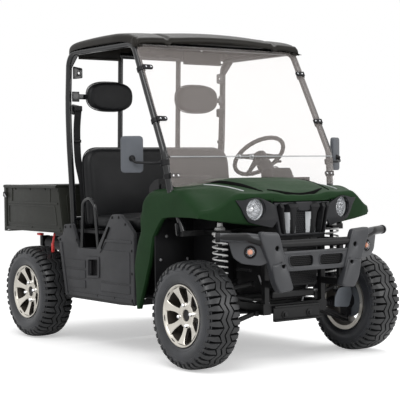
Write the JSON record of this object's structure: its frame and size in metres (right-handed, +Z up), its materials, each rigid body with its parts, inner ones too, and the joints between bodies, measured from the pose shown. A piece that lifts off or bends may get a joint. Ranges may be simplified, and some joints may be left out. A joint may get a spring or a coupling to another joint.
{
  "type": "side by side utility vehicle",
  "caption": "Open two-seat utility vehicle with tube cage, roof, windshield, tilting cargo bed with tailgate, steered front wheels and off-road tyres.",
  "frame": {"origin": "on the ground, at the centre of the vehicle's overall length and width", "axes": "+Z up, the front faces -Y, +X is the vehicle's left (driver) side"},
  "size_m": [1.5906, 2.518, 1.8607],
  "materials": {
    "tyre": "semi-gloss sidewall, dusty black tread",
    "alloy": "machined silver faces, dark pockets",
    "body_green": "deep green moulded plastic, satin gloss",
    "graphite_plastic": "graphite grey textured moulding",
    "black_plastic": "black textured moulding",
    "roof_plastic": "warm black moulded skin",
    "frame_black": "black powder coat",
    "cage_black": "black gloss powder coat",
    "bed_olive": "dark olive black enamel",
    "seat_vinyl": "black grained vinyl",
    "pane": "clear acrylic sheet",
    "lamp_lens": "clear faceted lens over chrome bowl",
    "amber_lens": "amber lens",
    "spring_steel": "white powder coated spring",
    "bare_steel": "machined steel",
    "engine_metal": "dark cast housing"
  },
  "bodies": {
    "chassis": {"main_frame": "frame_black", "front_frame": "frame_black", "cage_left": "cage_black", "cage_right": "cage_black", "cage_crossbars": "cage_black", "roof": "roof_plastic", "windshield": "pane", "windshield_clamps": "black_plastic", "fenders": "body_green", "hood": "body_green", "grille": "graphite_plastic", "headlights": "lamp_lens", "bumper_frame": "frame_black", "bumper_covers": "graphite_plastic", "bumper_plates": "graphite_plastic", "indicator_lamps": "amber_lens", "footwell_tub": "black_plastic", "dash": "black_plastic", "seat_base": "black_plastic", "seat_cushion": "seat_vinyl", "seat_back": "seat_vinyl", "headrests": "seat_vinyl", "side_panels": "graphite_plastic", "hip_rails": "cage_black", "mirrors": "black_plastic", "steering_column": "frame_black", "front_arms": "frame_black", "shocks": "spring_steel", "rear_axle": "engine_metal", "engine": "engine_metal"},
    "front_left_wheel": {"front_left_tyre": "tyre", "front_left_rim": "alloy"},
    "front_right_wheel": {"front_right_tyre": "tyre", "front_right_rim": "alloy"},
    "rear_left_wheel": {"rear_left_tyre": "tyre", "rear_left_rim": "alloy"},
    "rear_right_wheel": {"rear_right_tyre": "tyre", "rear_right_rim": "alloy"},
    "left_knuckle": {"front_left_knuckle": "engine_metal"},
    "right_knuckle": {"front_right_knuckle": "engine_metal"},
    "steering_wheel": {"steering_wheel": "black_plastic"},
    "steering_rack": {"tie_rods": "bare_steel"},
    "cargo_bed": {"bed_tub": "bed_olive", "bed_frame": "frame_black"},
    "tailgate": {"tailgate": "bed_olive"}
  },
  "joints": [
    {"name": "steer_left", "type": "hinge", "parent": "chassis", "child": "left_knuckle", "pos_m": [0.5, -0.89, 0.289], "axis": [0, 0, 1], "range_deg": [-28, 28]},
    {"name": "steer_right", "type": "hinge", "parent": "chassis", "child": "right_knuckle", "pos_m": [-0.5, -0.89, 0.289], "axis": [0, 0, 1], "range_deg": [-28, 28]},
    {"name": "steering_wheel_turn", "type": "hinge", "parent": "chassis", "child": "steering_wheel", "pos_m": [0.33, -0.312, 1.133], "axis": [0, 0.6743, 0.7385], "range_deg": [-270, 270]},
    {"name": "rack_slide", "type": "slide", "parent": "chassis", "child": "steering_rack", "axis": [1, 0, 0], "range_m": [-0.037, 0.037]},
    {"name": "roll_front_left", "type": "hinge", "parent": "left_knuckle", "child": "front_left_wheel", "pos_m": [0.573, -0.89, 0.289], "axis": [1, 0, 0], "continuous": true},
    {"name": "roll_front_right", "type": "hinge", "parent": "right_knuckle", "child": "front_right_wheel", "pos_m": [-0.573, -0.89, 0.289], "axis": [1, 0, 0], "continuous": true},
    {"name": "roll_rear_left", "type": "hinge", "parent": "chassis", "child": "rear_left_wheel", "pos_m": [0.573, 0.83, 0.289], "axis": [1, 0, 0], "continuous": true},
    {"name": "roll_rear_right", "type": "hinge", "parent": "chassis", "child": "rear_right_wheel", "pos_m": [-0.573, 0.83, 0.289], "axis": [1, 0, 0], "continuous": true},
    {"name": "bed_tilt", "type": "hinge", "parent": "chassis", "child": "cargo_bed", "pos_m": [0, 1.165, 0.655], "axis": [-1, 0, 0], "range_deg": [0, 45]},
    {"name": "tailgate_drop", "type": "hinge", "parent": "cargo_bed", "child": "tailgate", "pos_m": [0, 1.252, 0.686], "axis": [-1, 0, 0], "range_deg": [0, 90]}
  ],
  "couplings": [
    {"joint": "steer_right", "follows": "steer_left", "ratio": 1},
    {"joint": "steering_wheel_turn", "follows": "steer_left", "ratio": 9.6},
    {"joint": "rack_slide", "follows": "steer_left", "m_per_rad": -0.075}
  ]
}
